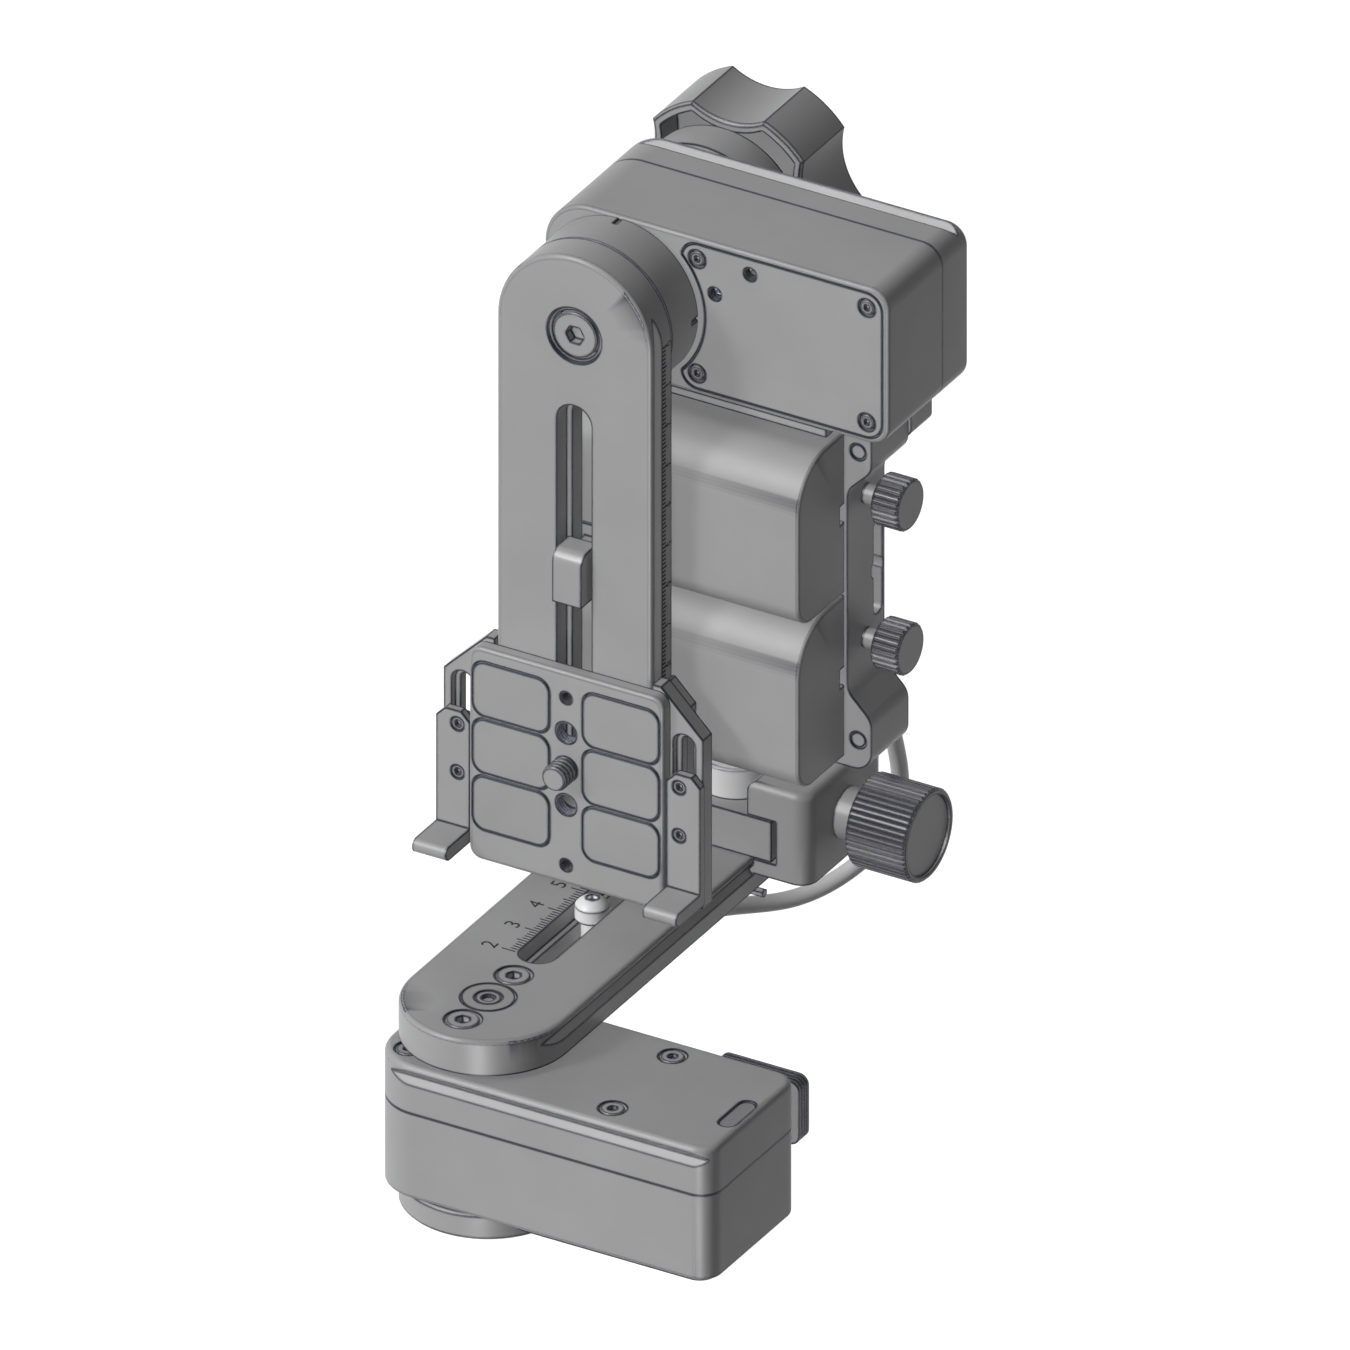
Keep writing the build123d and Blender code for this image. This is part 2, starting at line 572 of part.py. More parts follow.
for name, z in (("lower", lock_knob_z[0]), ("upper", lock_knob_z[1])):
    lock = Pos(lock_knob_x[0], lock_knob_y, z) * Rot(0, 90, 0) * fluted(
        lock_knob_radius, lock_flutes, lock_knob_x[1] - lock_knob_x[0], depth=0.6)
    lock += rod("X", 2.0, lock_knob_y, z, fx1 - 7.5, lock_knob_x[0])
    lock += rod("X", 2.4, lock_knob_y, z, fx1 + free_gap, lock_knob_x[0])
    write(f"battery_lock_{name}", lock)

# ---------------------------------------------------------------- upper rotator
pitch = rotator_pieces(pitch_depth)
write("pitch_cover", upper(pitch["cover"]) - rod("Y", 5.3, 0, pitch_z, pitch_case_y + 30, pitch_case_y + 36))
threaded_at = [(23.2, 6.8), (32.0, 14.2)]
tapped = [rod("Y", 1.6, x, pitch_z + z, pitch_case_y - 1, pitch_case_y + case_floor + 1) for x, z in threaded_at]
write("pitch_case", upper(pitch["case"]) - tapped)
write("pitch_service_plate", upper(pitch["service_plate"]) - tapped)
write("pitch_case_screws", upper(pitch["screws"]))
write("pitch_bearings", upper(pitch["bearings"]))
write("pitch_motor", upper(pitch["motor"]))
write("pitch_control_board", upper(pitch["control_board"]))
write("pitch_worm", upper(pitch["worm"]))
write("pitch_motor_pinion", upper(pitch["pinion"]))
write("pitch_worm_wheel", upper(pitch["worm_wheel"]))

boss_rear = pitch_case_y - free_gap
boss = rod("Y", boss_radius, 0, pitch_z, swing_rear_y, boss_rear)
boss = chamfer(boss.edges().filter_by(GeomType.CIRCLE), 0.35)
notch = slab(-0.5, 0.5, boss_rear - 3, boss_rear + 1, boss_radius - 0.6, boss_radius + 1)
boss -= [Pos(0, 0, pitch_z) * Rot(0, step * 90, 0) * notch for step in range(4)]
arm_screw = dict(head_radius=5.5, head_height=3.4, shank_radius=2.6, length=16.0)
arm_screw_place = Pos(0, arm_front + 0.3, pitch_z) * Rot(90, 0, 0)
boss -= arm_screw_place * screw_seat(**arm_screw)
write("pitch_boss", boss)
pitch_rear = pitch_case_y + pitch_depth
pitch_shaft = tube("Y", shaft_radius, shaft_bore, 0, pitch_z, boss_rear, pitch_rear - cover_roof - free_gap)
write("pitch_shaft", pitch_shaft)
arm = on_arm(rail(swing_arm_end, swing_slot)) - arm_screw_place * screw_seat(**arm_screw)
arm -= rod("Y", 6.8, 0, pitch_z, arm_front - 1, arm_front + 0.7)
write("swing_arm", arm)
write("swing_arm_screw", arm_screw_place * socket_screw(**arm_screw, socket=3.9))

# clutch knob behind the upper case: cupped, five lobes
collar_radius = 19.6
knob_front = 103.5
knob_rear = 121.5
lobe_tip = 24.5
lobes = 5
scallop_radius = 17.0
scallop_floor = 20.3
first_lobe = 54.0
collar_rear = 102.0
collar = tube("Y", collar_radius, 5.3, 0, pitch_z, pitch_rear, collar_rear)
collar = chamfer(collar.edges().filter_by(GeomType.CIRCLE).sort_by(Axis.Y)[-1], 0.6)
write("clutch_collar", collar)


def lobed_plan(radius, floor):
    """Round plan with a shallow scallop between each pair of lobes."""
    plan = Circle(radius)
    cut = Pos(floor + scallop_radius, 0) * Circle(scallop_radius)
    return plan - [Rot(0, 0, first_lobe + 36 + 72 * step) * cut for step in range(lobes)]


knob_body = extrude(lobed_plan(lobe_tip, scallop_floor), knob_rear - knob_front)
knob_body = chamfer(knob_body.faces().sort_by(Axis.Z)[-1].outer_wire().edges(), 0.6)
knob_body -= Pos(0, 0, 11.0) * extrude(lobed_plan(lobe_tip - 2.2, scallop_floor - 2.2), 10)
knob_body += Pos(0, 0, 8.0) * Cylinder(8.0, 16.0)
knob_place = Pos(0, knob_rear, pitch_z) * Rot(90, 0, 0)
clutch = knob_place * knob_body
clutch += rod("Y", 5.0, 0, pitch_z, pitch_rear + 0.3, knob_rear - 4)
write("clutch_knob", clutch)

# ---------------------------------------------------------------- stop in the swing arm's slot
stop_half = 3.62
stop_front = arm_front - 3.3
stop_z = (rail_top + 81.0, rail_top + 93.8)
ledge_y = arm_front + slot_ledge_depth
arm_stop = slab(-stop_half, stop_half, stop_front, ledge_y - free_gap, *stop_z)
stop_nose = arm_stop.edges().filter_by(Axis.X).group_by(Axis.Y)[0].sort_by(Axis.Z)[-1]
arm_stop = fillet(stop_nose, 3.0)
arm_stop += slab(-slot_ledge_half + free_gap, slot_ledge_half - free_gap, ledge_y - 1, swing_rear_y + 0.6,
                 stop_z[0] + 2, stop_z[1] - 2)
arm_stop += slab(-5, 5, swing_rear_y + slide_gap, swing_rear_y + 1.1, stop_z[0] + 1, stop_z[1] + 1)
write("swing_arm_stop", arm_stop)

# ---------------------------------------------------------------- camera plate and its jaws
pz0, pz1 = plate_z
camera_plate = slab(-plate_half, plate_half, *plate_y, *plate_z)
camera_plate = fillet(camera_plate.edges().filter_by(Axis.Y), 3.0)
camera_plate = fillet(camera_plate.faces().sort_by(Axis.Y)[0].outer_wire().edges(), 0.8)
pad_x = (4.3, 23.2)
pad_rows = [rail_top + 19.2, rail_top + 33.4, rail_top + 47.6]
pad_high = 13.2
pad_sink = 0.8


def pad_blocks(thick_from, thick_to, grow):
    """Six rounded pads in two columns."""
    blocks = []
    for side in (-1, 1):
        for low in pad_rows:
            x_low, x_high = sorted((side * pad_x[0], side * pad_x[1]))
            block = slab(x_low - grow, x_high + grow, thick_from, thick_to, low - grow, low + pad_high + grow)
            blocks.append(fillet(block.edges().filter_by(Axis.Y), 3.0 + grow))
    return blocks


camera_plate -= pad_blocks(plate_y[0] - 1, plate_y[0] + pad_sink, 0.25)
tapped_z = (rail_top + 31.2, rail_top + 49.2)
small_z = (rail_top + 16.1, rail_top + 57.9)
tapped_radius = 2.6
for z in tapped_z:
    camera_plate -= rod("Y", tapped_radius, 0, z, plate_y[0] - 1, plate_y[1] + 1)
for z in small_z:
    camera_plate -= rod("Y", 1.5, 0, z, plate_y[0] - 1, plate_y[1] + 1)
screw_radius = 3.17
screw_neck = 2.8
camera_plate -= rod("Y", screw_neck + run_gap, 0, camera_screw_z, plate_y[0] - 1, plate_y[1] + 1)
camera_plate -= rod("Y", 5.1, 0, camera_screw_z, plate_y[1] - 1.3, plate_y[1] + 1)
write("camera_plate", camera_plate)
write("grip_pads", *pad_blocks(plate_y[0] - 0.15, plate_y[0] + pad_sink, 0.0))
screw_tip = 28.1
thread_end = plate_y[0] - 0.2
camera_screw = rod("Y", screw_radius, 0, camera_screw_z, screw_tip, thread_end)
camera_screw = chamfer(camera_screw.edges().filter_by(GeomType.CIRCLE).sort_by(Axis.Y)[0], 0.5)
camera_screw += rod("Y", screw_neck, 0, camera_screw_z, thread_end, plate_y[1] - 0.4)
camera_screw += rod("Y", 4.8, 0, camera_screw_z, plate_y[1] - 1.2, plate_y[1] - 0.1)
write("camera_screw", camera_screw)


def jaw_plate(side, outer, low, high, corner, y_front, y_back):
    """Flat jaw layer beside the arm with its upper outer corner cut off."""
    inner = rail_half + free_gap
    points = [(inner, low), (outer, low), (outer, high - corner), (outer - corner, high), (inner, high)]
    plan = make_face(Polyline([(side * x, z) for x, z in points], close=True))
    return Pos(0, y_back, 0) * extrude(Plane.XZ * plan, y_back - y_front)


def clamp_wing(side):
    """Jaw beside the arm: slotted wing in front, narrower back, lip in the arm's groove."""
    low, high = wing_z
    wing = jaw_plate(side, wing_half, low, high, wing_corner, plate_y[1], wing_rear)
    wing += jaw_plate(side, wing_back_half, low + 2, high - 2, wing_corner / 2, wing_rear - 1, swing_rear_y)
    mid = arm_front + (groove_top + groove_bottom) / 2
    tip = rail_half - groove_depth + 0.9
    lip = make_face(Polyline(
        [(side * (rail_half + 1.5), mid - 1.4), (side * (rail_half + free_gap), mid - 1.4), (side * tip, mid - 0.35),
         (side * tip, mid + 0.35), (side * (rail_half + free_gap), mid + 1.4), (side * (rail_half + 1.5), mid + 1.4)],
        close=True))
    wing += Pos(0, 0, low + 4) * extrude(lip, high - low - 8)
    slot_low, slot_high = wing_slot_z
    through = SlotOverall(slot_high - slot_low, 2.8, rotation=90)
    recess = SlotOverall(slot_high - slot_low + 2.7, 5.5, rotation=90)
    place = Pos(side * stop_slot_x, 0, (slot_low + slot_high) / 2) * Rot(90, 0, 0)
    wing -= Pos(0, wing_rear + 1, 0) * place * extrude(through, 6)
    wing -= Pos(0, plate_y[1] + 1.6, 0) * place * extrude(recess, 3)
    return wing


write("left_plate_jaw", clamp_wing(-1))
write("right_plate_jaw", clamp_wing(1))

# adjustable L stops with a rounded ledge, held by two screws each
stop_inner = plate_half + free_gap
stop_outer = 33.0
stop_front_y = arm_front - 2.6
stop_back_y = plate_y[1] - slide_gap
stop_top = 96.0
ledge_z = (rail_top + 14.2, rail_top + 17.6)
ledge_nose = 24.2


def l_stop(side):
    """Upright leaf with a ledge towards the camera."""
    x_low, x_high = sorted((side * stop_inner, side * stop_outer))
    leaf = slab(x_low, x_high, stop_front_y, stop_back_y, ledge_z[0], stop_top)
    top = leaf.edges().filter_by(Axis.Y).group_by(Axis.Z)[-1]
    leaf = chamfer(top, 2.2)
    ledge = slab(x_low, x_high, ledge_nose, stop_back_y, *ledge_z)
    nose = ledge.edges().filter_by(Axis.X).group_by(Axis.Y)[0]
    ledge = fillet(nose, 1.65)
    body = leaf + ledge
    for z in stop_screw_z:
        body -= rod("Y", 1.65, side * stop_slot_x, z, stop_front_y - 1, stop_back_y + 1)
    return body


for name, side in (("left", -1), ("right", 1)):
    write(f"{name}_camera_stop", l_stop(side))
    shanks = []
    for z in stop_screw_z:
        pin = rod("Y", 1.65, side * stop_slot_x, z, stop_front_y + 0.25, stop_back_y)
        pin += rod("Y", 1.1, side * stop_slot_x, z, stop_back_y, wing_rear - 1.5)
        pin -= Pos(side * stop_slot_x, stop_front_y + 0.2, z) * Rot(-90, 0, 0) * hex_bar(1.5, 0.9)
        shanks.append(pin)
    write(f"{name}_stop_screws", *shanks)

# ---------------------------------------------------------------- cable between frame and lower case


def bend_radii(points):
    """Largest radius that two neighbouring runs allow at each corner."""
    radii = []
    for before, corner, after in zip(points, points[1:], points[2:]):
        arrive = Vector(*corner) - Vector(*before)
        leave = Vector(*after) - Vector(*corner)
        turn = math.radians(arrive.get_angle(leave))
        radii.append(0.45 * min(arrive.length, leave.length) / math.tan(turn / 2))
    return radii


radii = bend_radii(cable_points)
print("cable radii", [round(r, 1) for r in radii])
path = FilletPolyline(*[Vector(*p) for p in cable_points], radius=radii)
section = Plane(origin=path @ 0, z_dir=path % 0) * Circle(cable_radius)
cable = sweep(section, path=path)
print("cable length", round(path.length, 1), "volume ratio",
      round(cable.volume / (math.pi * cable_radius ** 2 * path.length), 4))
write("power_cable", cable)
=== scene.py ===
import json
import math

import bpy
from mathutils import Matrix, Vector


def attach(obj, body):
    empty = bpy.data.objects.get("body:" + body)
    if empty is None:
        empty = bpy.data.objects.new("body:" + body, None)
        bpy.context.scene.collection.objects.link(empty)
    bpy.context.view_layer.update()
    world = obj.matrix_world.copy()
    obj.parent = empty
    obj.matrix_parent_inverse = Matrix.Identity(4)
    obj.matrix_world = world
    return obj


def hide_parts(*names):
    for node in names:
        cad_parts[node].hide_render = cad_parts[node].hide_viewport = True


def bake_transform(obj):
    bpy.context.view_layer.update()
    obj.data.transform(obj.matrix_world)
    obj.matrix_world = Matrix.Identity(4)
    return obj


mm = 0.001
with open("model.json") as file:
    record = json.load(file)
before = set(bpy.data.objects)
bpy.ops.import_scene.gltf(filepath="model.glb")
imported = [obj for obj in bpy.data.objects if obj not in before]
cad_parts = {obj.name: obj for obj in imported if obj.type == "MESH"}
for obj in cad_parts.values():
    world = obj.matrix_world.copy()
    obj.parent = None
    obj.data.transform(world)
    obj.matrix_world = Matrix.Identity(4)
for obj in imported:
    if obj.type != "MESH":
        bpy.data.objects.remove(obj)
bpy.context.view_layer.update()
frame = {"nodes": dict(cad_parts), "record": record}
nodes = frame["nodes"]
print("frame loaded:", len(nodes), "nodes")


def addNode(tree, kind, inputs=None, **settings):
    node = tree.nodes.new(kind)
    for key, value in settings.items():
        setattr(node, key, value)
    for key, value in (inputs or {}).items():
        node.inputs[key].default_value = value
    return node


def wire(tree, source, target):
    tree.links.new(source, target)


# colours are linear, grain depths in mm; streak adds brushing, long where its number is small;
# edge is how much of the colour is left in the painted shade line along every corner, and 1 paints none
finishes = {
    "caseAluminium": dict(colour=(0.335, 0.335, 0.338), metallic=0.0, roughness=(0.40, 0.50), grain=2600,
                          grainDepth=0.012, streak=None, edge=0.09),
    "railAluminium": dict(colour=(0.338, 0.338, 0.341), metallic=0.0, roughness=(0.34, 0.46), grain=1800,
                          grainDepth=0.010, streak=(2200, 60, 2200), edge=0.09),
    "armAluminium": dict(colour=(0.338, 0.338, 0.341), metallic=0.0, roughness=(0.34, 0.46), grain=1800,
                         grainDepth=0.010, streak=(2200, 2200, 60), edge=0.09),
    "plateAluminium": dict(colour=(0.335, 0.335, 0.338), metallic=0.0, roughness=(0.36, 0.48), grain=2200,
                           grainDepth=0.010, streak=(60, 2200, 2200), edge=0.09),
    "knobAluminium": dict(colour=(0.315, 0.315, 0.318), metallic=0.0, roughness=(0.32, 0.44), grain=2400,
                          grainDepth=0.008, streak=(2600, 120, 120), edge=0.09),
    "screwSteel": dict(colour=(0.345, 0.345, 0.35), metallic=0.0, roughness=(0.30, 0.42), grain=3000,
                       grainDepth=0.008, streak=None, edge=0.09),
    "shaftSteel": dict(colour=(0.42, 0.42, 0.43), metallic=0.75, roughness=(0.20, 0.32), grain=3000,
                       grainDepth=0.006, streak=None, edge=0.55),
    "gearBrass": dict(colour=(0.58, 0.44, 0.18), metallic=0.85, roughness=(0.24, 0.36), grain=2600,
                      grainDepth=0.008, streak=None, edge=0.60),
    "motorCan": dict(colour=(0.30, 0.30, 0.31), metallic=0.65, roughness=(0.26, 0.40), grain=2600,
                     grainDepth=0.008, streak=(120, 2600, 2600), edge=0.55),
    "boardLacquer": dict(colour=(0.03, 0.12, 0.06), metallic=0.0, roughness=(0.28, 0.42), grain=1800,
                         grainDepth=0.014, streak=None, edge=0.60),
    "batteryPlastic": dict(colour=(0.330, 0.330, 0.331), metallic=0.0, roughness=(0.42, 0.54), grain=3200,
                           grainDepth=0.020, streak=None, edge=0.09),
    "knobPlastic": dict(colour=(0.318, 0.318, 0.320), metallic=0.0, roughness=(0.36, 0.46), grain=2400,
                        grainDepth=0.014, streak=None, edge=0.09),
    "padRubber": dict(colour=(0.318, 0.318, 0.320), metallic=0.0, roughness=(0.55, 0.68), grain=3600,
                      grainDepth=0.024, streak=None, edge=0.20),
    "cableJacket": dict(colour=(0.62, 0.62, 0.62), metallic=0.0, roughness=(0.40, 0.52), grain=2600,
                        grainDepth=0.012, streak=None, edge=1.0),
    "windowPlastic": dict(colour=(0.25, 0.25, 0.26), metallic=0.0, roughness=(0.10, 0.18), grain=1600,
                          grainDepth=0.004, streak=None, edge=0.09),
    # painted highlight: a much lighter copy of the grey aluminium, so the level cup, the stop screw's head
    # and the big holes' threads look shining
    "highlightAluminium": dict(colour=(0.74, 0.74, 0.745), metallic=0.0, roughness=(0.30, 0.40), grain=2600,
                           grainDepth=0.008, streak=None, edge=0.10),
    "vialGlass": dict(colour=(0.40, 0.44, 0.40), metallic=0.0, roughness=(0.04, 0.10), grain=1200,
                      grainDepth=0.003, streak=None, edge=0.50),
    "scaleInk": dict(colour=(0.018, 0.018, 0.022), metallic=0.0, roughness=(0.50, 0.60), grain=3000,
                     grainDepth=0.010, streak=None, edge=1.0),
}
surface = {
    "specular": 0.26, "ior": 1.5,
    "tone": 0.04, "toneScale": 45.0, "toneDetail": 3.0, "toneFrom": 0.3, "toneTo": 0.7,
    "wearScale": 160.0, "wearDetail": 4.0, "wearRoughness": 0.6,
    "grainDetail": 2.0, "bumpStrength": 0.5,
    "cornerRadius": 0.20 * mm, "cornerSamples": 4,
    # painted shade line along every corner: its reach, samples, where it starts and is full, and its tint
    "shadeLineRadius": 0.80 * mm, "shadeLineSamples": 8, "shadeLineFrom": 0.9985, "shadeLineTo": 0.985,
    "shadeLineTint": (0.80, 0.80, 1.25),
}
colourMix = {"factor": 0, "plain": 6, "dark": 7, "result": 2}    # sockets of a Mix node set to colour


def tonedColour(tree, place, look):
    # the finish's own colour, a little lighter and darker in soft patches
    tone = addNode(tree, "ShaderNodeTexNoise", {
        "Scale": surface["toneScale"], "Detail": surface["toneDetail"]})
    wire(tree, place, tone.inputs["Vector"])
    shade = addNode(tree, "ShaderNodeValToRGB")
    low, high = shade.color_ramp.elements
    low.position, high.position = surface["toneFrom"], surface["toneTo"]
    low.color = [*(c * (1 - surface["tone"]) for c in look["colour"]), 1]
    high.color = [*(min(c * (1 + surface["tone"]), 1) for c in look["colour"]), 1]
    wire(tree, tone.outputs["Fac"], shade.inputs["Fac"])
    return shade.outputs["Color"]


def outlinedColour(tree, plain, look):
    # painted shade: a thin dark line wherever the surface turns a corner
    face = addNode(tree, "ShaderNodeNewGeometry").outputs["True Normal"]
    rim = addNode(tree, "ShaderNodeBevel", {"Radius": surface["shadeLineRadius"]}, samples=surface["shadeLineSamples"])
    turn = addNode(tree, "ShaderNodeVectorMath", operation="DOT_PRODUCT")
    wire(tree, rim.outputs["Normal"], turn.inputs[0])
    wire(tree, face, turn.inputs[1])
    shadeLine = addNode(tree, "ShaderNodeMapRange", {
        "From Min": surface["shadeLineFrom"], "From Max": surface["shadeLineTo"]})
    wire(tree, turn.outputs["Value"], shadeLine.inputs["Value"])
    dark = [*(c * look["edge"] * tint for c, tint in zip(look["colour"], surface["shadeLineTint"])), 1]
    mix = addNode(tree, "ShaderNodeMix", data_type="RGBA", blend_type="MIX")
    mix.inputs[colourMix["dark"]].default_value = dark
    wire(tree, shadeLine.outputs["Result"], mix.inputs[colourMix["factor"]])
    wire(tree, plain, mix.inputs[colourMix["plain"]])
    return mix.outputs[colourMix["result"]]


def wornRoughness(tree, place, look):
    wear = addNode(tree, "ShaderNodeTexNoise", {
        "Scale": surface["wearScale"], "Detail": surface["wearDetail"],
        "Roughness": surface["wearRoughness"]})
    wire(tree, place, wear.inputs["Vector"])
    smooth, dull = look["roughness"]
    rough = addNode(tree, "ShaderNodeMapRange", {"To Min": smooth, "To Max": dull})
    wire(tree, wear.outputs["Fac"], rough.inputs["Value"])
    return rough.outputs["Result"]


def grainNormal(tree, place, look):
    # fine grain, brushed one way where the finish has a streak, over slightly broken corners
    grain = addNode(tree, "ShaderNodeTexNoise", {"Scale": look["grain"], "Detail": surface["grainDetail"]})
    wire(tree, place, grain.inputs["Vector"])
    height = grain.outputs["Fac"]
    if look["streak"]:
        stretch = addNode(tree, "ShaderNodeMapping", {"Scale": look["streak"]})
        wire(tree, place, stretch.inputs["Vector"])
        lay = addNode(tree, "ShaderNodeTexNoise", {"Scale": 1.0, "Detail": surface["grainDetail"]})
        wire(tree, stretch.outputs["Vector"], lay.inputs["Vector"])
        brushed = addNode(tree, "ShaderNodeMath", operation="ADD")
        wire(tree, height, brushed.inputs[0])
        wire(tree, lay.outputs["Fac"], brushed.inputs[1])
        height = brushed.outputs["Value"]
    corner = addNode(tree, "ShaderNodeBevel", {"Radius": surface["cornerRadius"]},
                     samples=surface["cornerSamples"])
    bump = addNode(tree, "ShaderNodeBump", {
        "Strength": surface["bumpStrength"], "Distance": look["grainDepth"] * mm})
    wire(tree, height, bump.inputs["Height"])
    wire(tree, corner.outputs["Normal"], bump.inputs["Normal"])
    return bump.outputs["Normal"]


def makeFinish(name, look):
    material = bpy.data.materials.new(name)
    material.use_nodes = True
    tree = material.node_tree
    tree.nodes.clear()
    shader = addNode(tree, "ShaderNodeBsdfPrincipled", {
        "Metallic": look["metallic"], "Specular IOR Level": surface["specular"], "IOR": surface["ior"]})
    place = addNode(tree, "ShaderNodeTexCoord").outputs["Object"]
    colour = tonedColour(tree, place, look)
    # painted shade line on every corner, except where edge is 1
    if look["edge"] < 1:
        colour = outlinedColour(tree, colour, look)
    wire(tree, colour, shader.inputs["Base Color"])
    wire(tree, wornRoughness(tree, place, look), shader.inputs["Roughness"])
    wire(tree, grainNormal(tree, place, look), shader.inputs["Normal"])
    wire(tree, shader.outputs["BSDF"], addNode(tree, "ShaderNodeOutputMaterial").inputs["Surface"])
    return material


materials = {name: makeFinish(name, look) for name, look in finishes.items()}
print("finishes made:", len(materials))


# CAD nodes: triangles joined, curves smooth and edges crisp
smoothLook = dict(joinDistance=0.002, creaseAngle=28.0)
finishOfSlot = {
    "case_aluminium": "caseAluminium", "rail_aluminium": "railAluminium", "plate_aluminium": "plateAluminium",
    "knob_aluminium": "knobAluminium", "screw_steel": "screwSteel", "shaft_steel": "shaftSteel",
    "gear_brass": "gearBrass", "motor_can": "motorCan", "board_plastic": "boardLacquer",
    "battery_plastic": "batteryPlastic", "knob_plastic": "knobPlastic", "pad_rubber": "padRubber",
    "cable_jacket": "cableJacket", "window_plastic": "windowPlastic", "vial_glass": "vialGlass",
}
finishOfNode = {
    "swing_arm": "armAluminium", "upright_post": "armAluminium",
    # painted highlight: the level cup and the stop screw take the lighter aluminium copy
    "spirit_level_cup": "highlightAluminium", "rail_stop_screw": "highlightAluminium",
}


def makeSmoothTree(look):
    tree = bpy.data.node_groups.new("joinAndSmooth", "GeometryNodeTree")
    tree.is_modifier = True
    face = tree.interface
    face.new_socket("Geometry", in_out="INPUT", socket_type="NodeSocketGeometry")
    reach = face.new_socket("Join Distance", in_out="INPUT", socket_type="NodeSocketFloat")
    reach.default_value = look["joinDistance"] * mm
    crease = face.new_socket("Crease Angle", in_out="INPUT", socket_type="NodeSocketFloat")
    crease.default_value = math.radians(look["creaseAngle"])
    face.new_socket("Geometry", in_out="OUTPUT", socket_type="NodeSocketGeometry")
    given, result = addNode(tree, "NodeGroupInput"), addNode(tree, "NodeGroupOutput")
    strip = addNode(tree, "GeometryNodeRemoveAttribute", {"Name": "custom_normal"})
    join = addNode(tree, "GeometryNodeMergeByDistance")
    smooth = addNode(tree, "GeometryNodeSetShadeSmooth", {"Shade Smooth": True})
    angle = addNode(tree, "GeometryNodeInputMeshEdgeAngle")
    steep = addNode(tree, "FunctionNodeCompare", data_type="FLOAT", operation="GREATER_THAN")
    crisp = addNode(tree, "GeometryNodeSetShadeSmooth", {"Shade Smooth": False}, domain="EDGE")
    wire(tree, given.outputs["Geometry"], strip.inputs["Geometry"])
    wire(tree, strip.outputs["Geometry"], join.inputs["Geometry"])
    wire(tree, given.outputs["Join Distance"], join.inputs["Distance"])
    wire(tree, join.outputs["Geometry"], smooth.inputs["Geometry"])
    wire(tree, smooth.outputs["Geometry"], crisp.inputs["Geometry"])
    wire(tree, angle.outputs["Unsigned Angle"], steep.inputs[0])
    wire(tree, given.outputs["Crease Angle"], steep.inputs[1])
    wire(tree, steep.outputs["Result"], crisp.inputs["Selection"])
    wire(tree, crisp.outputs["Geometry"], result.inputs["Geometry"])
    return tree


smoothTree = makeSmoothTree(smoothLook)


def smoothPiece(piece):
    modifier = piece.modifiers.new("joinAndSmooth", "NODES")
    modifier.node_group = smoothTree


slotOfNode = {part["node"]: part["material_slot"] for part in frame["record"]["subparts"]}
for name, node in nodes.items():
    node.data.materials.clear()
    node.data.materials.append(materials[finishOfNode.get(name, finishOfSlot[slotOfNode[name]])])
    smoothPiece(node)
print("CAD nodes finished")


def finishPiece(name, mesh, body):
    piece = bpy.data.objects.new(name, mesh)
    bpy.context.scene.collection.objects.link(piece)
    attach(piece, body)
    return piece


def meshOf(holder):
    # plain mesh of what an object evaluates to; the object itself goes
    bpy.context.scene.collection.objects.link(holder)
    mesh = bpy.data.meshes.new_from_object(holder.evaluated_get(bpy.context.evaluated_depsgraph_get()))
    holder.modifiers.clear()
    bpy.data.objects.remove(holder)
    return mesh


def bakeTree(tree, values):
    holder = bpy.data.objects.new("holder", bpy.data.meshes.new("holder"))
    modifier = holder.modifiers.new("build", "NODES")
    modifier.node_group = tree
    for item in tree.interface.items_tree:
        if item.in_out == "INPUT" and item.name in values:
            modifier[item.identifier] = values[item.name]
    return meshOf(holder)


